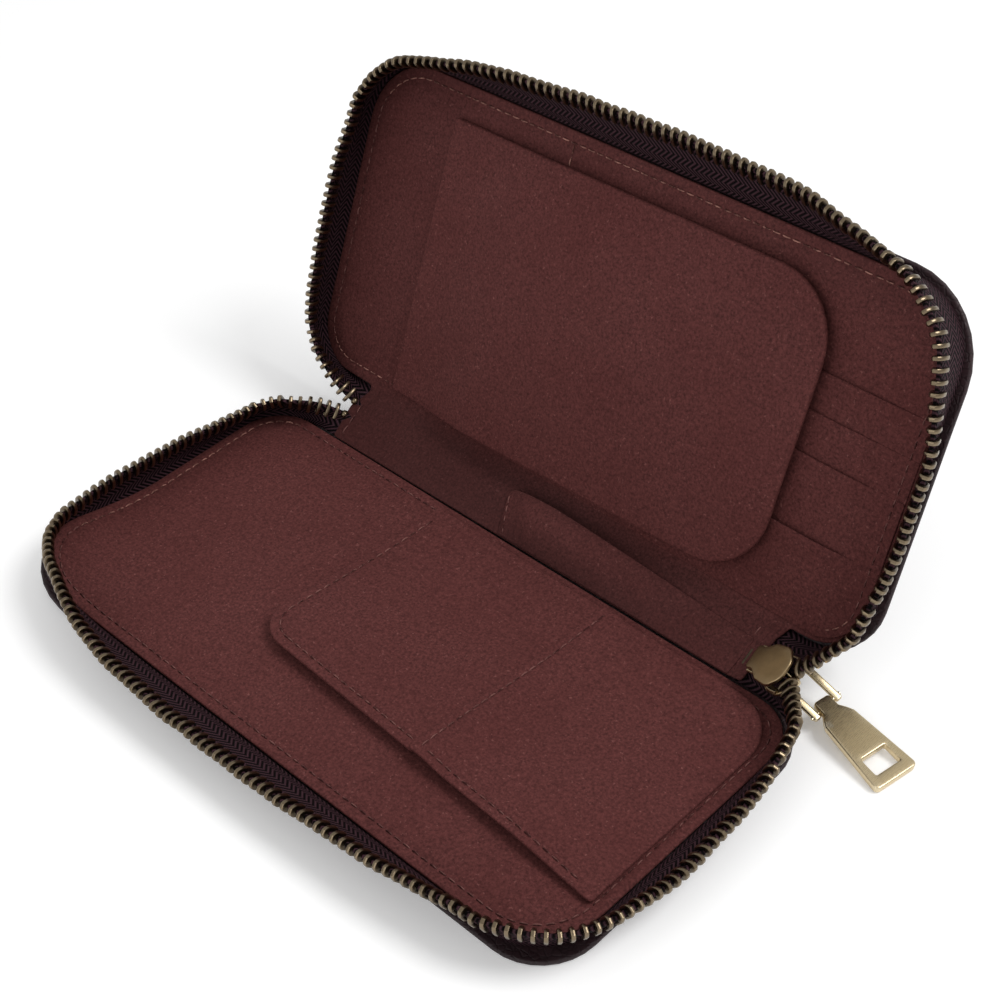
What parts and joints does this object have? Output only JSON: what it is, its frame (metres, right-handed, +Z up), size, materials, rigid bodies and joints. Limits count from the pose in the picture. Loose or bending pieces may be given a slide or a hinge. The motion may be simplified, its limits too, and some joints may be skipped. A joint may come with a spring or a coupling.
{
  "type": "zip-around glasses and card organizer",
  "caption": "Zip-around leather organizer that opens like a book, with flat pockets, card slots, a hinged page and a narrow spine sleeve.",
  "frame": {"origin": "centre of the lower cover's underside, on the surface the organizer rests on", "axes": "+Z up from that surface, +X along the spine towards the zip's slider, +Y from the lower half towards the standing half"},
  "size_m": [0.2062, 0.1553, 0.1043],
  "materials": {
    "lining": "matt suede-like maroon lining leather, pale beige stitching",
    "outer": "dark smooth outer leather with a low sheen",
    "board": "plain grey stiffener board",
    "tape": "near-black herringbone zip tape",
    "metal": "antique brass, worn bright on the edges"
  },
  "bodies": {
    "lower_half": {"lower_cover": "outer", "lower_board": "board", "lower_lining": "lining", "lower_pocket_left": "lining", "lower_pocket_right": "lining", "lower_zip_tape": "tape", "lower_zip_teeth": "metal", "lower_top_stop": "metal"},
    "spine": {"spine_cover": "outer", "spine_board": "board", "spine_lining": "lining", "spine_sleeve": "lining", "zip_bottom_stop": "metal"},
    "upper_half": {"upper_cover": "outer", "upper_board": "board", "upper_lining": "lining", "card_slot_1": "lining", "card_slot_2": "lining", "card_slot_3": "lining", "card_slot_4": "lining", "upper_zip_tape": "tape", "upper_zip_teeth": "metal", "upper_top_stop": "metal"},
    "flap": {"flap": "lining"},
    "slider": {"slider_body": "metal", "slider_bridge": "metal"},
    "pull_link": {"pull_link": "metal", "pull_pin": "metal"},
    "pull_tab": {"pull_tab": "metal"}
  },
  "joints": [
    {"name": "spine_fold", "type": "hinge", "parent": "lower_half", "child": "spine", "pos_m": [0, 0.04285, 0.0038], "axis": [-1, 0, 0], "range_deg": [-63, 26.5], "deforming": ["lower_zip_tape", "lower_zip_teeth", "lower_top_stop"]},
    {"name": "cover_fold", "type": "hinge", "parent": "spine", "child": "upper_half", "pos_m": [0, 0.05865, 0.01178], "axis": [-1, 0, 0], "range_deg": [-51.5, 38], "deforming": ["upper_zip_tape", "upper_zip_teeth", "upper_top_stop"]},
    {"name": "flap_hinge", "type": "hinge", "parent": "upper_half", "child": "flap", "pos_m": [-0.0603, 0.05738, 0.01237], "axis": [0, -0.4194, -0.9078], "range_deg": [0, 150]},
    {"name": "slider_run", "type": "slide", "parent": "spine", "child": "slider", "axis": [0.9063, -0.1905, 0.3772], "range_m": [0, 0.003]},
    {"name": "link_swing", "type": "hinge", "parent": "slider", "child": "pull_link", "pos_m": [0.08091, 0.04778, 0.00824], "axis": [0.083, 0.9728, 0.2164], "range_deg": [-8, 60]},
    {"name": "tab_swing", "type": "hinge", "parent": "pull_link", "child": "pull_tab", "pos_m": [0.09019, 0.04933, 0.00507], "axis": [0.083, 0.9728, 0.2164], "range_deg": [-20, 60]}
  ]
}
